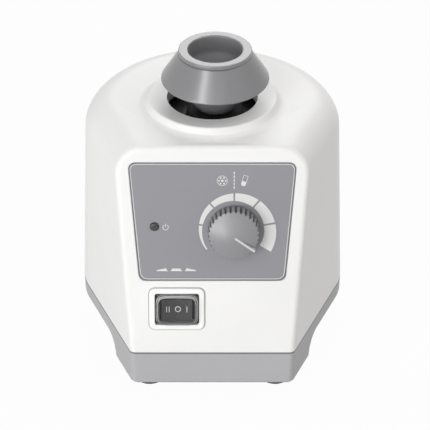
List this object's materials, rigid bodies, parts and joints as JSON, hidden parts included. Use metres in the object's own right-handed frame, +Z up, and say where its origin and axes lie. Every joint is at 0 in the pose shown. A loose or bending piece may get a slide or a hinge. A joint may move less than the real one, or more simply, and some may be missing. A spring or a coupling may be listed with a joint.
{
  "type": "vortex mixer",
  "caption": "Bench vortex mixer for test tubes: white housing with inclined control panel on a weighted grey base, and an orbiting grey rubber cup on top that also starts the motor when pressed",
  "frame": {"origin": "centre of the footprint at the underside of the feet", "axes": "+Z up, -Y towards the control panel, +X to the right seen from the front"},
  "size_m": [0.1288, 0.1334, 0.156],
  "materials": {
    "housing_white": "smooth white enamel, semi-gloss",
    "base_grey": "smooth light grey enamel, satin",
    "ballast_iron": "rough casting",
    "foot_rubber": "matt black rubber",
    "steel": "zinc plated",
    "panel_grey": "printed grey film with fine texture",
    "lamp_dark": "smoked dark lens, unlit",
    "black_plastic": "moulded black",
    "bezel_white": "moulded white",
    "switch_black": "moulded black",
    "rocker_black": "moulded black with white marks",
    "brass": "bright",
    "boot_clear": "clear soft moulding",
    "zinc": "nickel plated",
    "knob_grey": "satin grey with soft gloss on the face",
    "pointer_white": "inlaid pale line",
    "board_green": "solder mask",
    "heatsink_aluminium": "extruded",
    "capacitor_yellow": "moulded box",
    "fuse_glass": "clear tube",
    "black_rubber": "matt black rubber",
    "nylon": "natural nylon",
    "lamination": "stacked sheet steel",
    "copper": "enamelled copper wire",
    "bracket_zinc": "die cast",
    "bearing_steel": "ground",
    "head_black": "black oxide",
    "cup_rubber": "satin grey rubber"
  },
  "bodies": {
    "stand": {"upper_housing": "housing_white", "base": "base_grey", "ballast_plate": "ballast_iron", "rubber_feet": "foot_rubber", "foot_screws": "steel", "housing_screws": "steel", "front_panel": "panel_grey", "lamp_lens": "lamp_dark", "lamp_spacer": "black_plastic", "switch_bezel": "bezel_white", "switch_body": "switch_black", "switch_terminals": "brass", "switch_boot": "boot_clear", "potentiometer_body": "zinc", "potentiometer_nut": "zinc", "control_board": "board_green", "board_spacers": "brass", "board_screws": "steel", "heatsink": "heatsink_aluminium", "triac": "black_plastic", "suppression_capacitor": "capacitor_yellow", "glass_fuse": "fuse_glass", "fuse_clips": "brass", "mains_inlet": "black_plastic", "inlet_pins": "brass", "inlet_screws": "steel", "guide_posts": "steel", "post_nuts": "steel", "rubber_buffers": "black_rubber", "microswitch": "black_plastic", "microswitch_tabs": "brass"},
    "carriage": {"guide_bushes": "nylon", "carriage_plate": "steel", "motor_spacers": "steel", "motor_bolts": "steel", "bracket_bolts": "steel", "stator_stack": "lamination", "coil_bobbin": "nylon", "coil_winding": "copper", "upper_bracket": "bracket_zinc", "lower_bracket": "bracket_zinc", "shaft_bushes": "brass"},
    "rotor": {"motor_shaft": "steel", "rotor_core": "lamination", "cooling_fan": "black_plastic", "eccentric_hub": "steel", "hub_set_screw": "steel", "counterweight": "brass", "bearing_inner_ring": "bearing_steel", "bearing_screw": "steel"},
    "head": {"bearing_outer_ring": "bearing_steel", "bearing_balls": "bearing_steel", "drive_head": "head_black", "splash_shield": "black_rubber"},
    "tube_holder": {"cup": "cup_rubber"},
    "speed_control": {"speed_knob": "knob_grey", "knob_pointer": "pointer_white", "potentiometer_spindle": "zinc"},
    "rocker": {"switch_rocker": "rocker_black"},
    "touch_lever": {"microswitch_lever": "steel"}
  },
  "joints": [
    {"name": "cup_press", "type": "slide", "parent": "stand", "child": "carriage", "axis": [0, 0, -1], "range_m": [0, 0.0015], "stiffness_N_per_m": 6000, "springref_m": -0.005, "deforming": ["rubber_buffers"]},
    {"name": "motor_spin", "type": "hinge", "parent": "carriage", "child": "rotor", "pos_m": [0, -0.001, 0.09], "axis": [0, 0, 1], "continuous": true},
    {"name": "head_turn", "type": "hinge", "parent": "rotor", "child": "head", "pos_m": [0.00136, -0.00246, 0.1125], "axis": [0, 0, 1], "continuous": true},
    {"name": "cup_lift", "type": "slide", "parent": "head", "child": "tube_holder", "axis": [0, 0, 1], "range_m": [0, 0.03]},
    {"name": "knob_turn", "type": "hinge", "parent": "stand", "child": "speed_control", "pos_m": [0.0101, -0.05629, 0.08609], "axis": [0, -0.9711, 0.2385], "range_deg": [0, 250]},
    {"name": "rocker_tip", "type": "hinge", "parent": "stand", "child": "rocker", "pos_m": [-0.017, -0.05744, 0.04539], "axis": [0, 0.2385, 0.9711], "range_deg": [-9, 9]},
    {"name": "lever_drop", "type": "hinge", "parent": "stand", "child": "touch_lever", "pos_m": [-0.009, 0.02, 0.02675], "axis": [0, 1, 0], "range_deg": [0, 5.6]}
  ],
  "couplings": [
    {"joint": "head_turn", "follows": "motor_spin", "ratio": -1},
    {"joint": "lever_drop", "follows": "cup_press", "rad_per_m": 62.8}
  ]
}
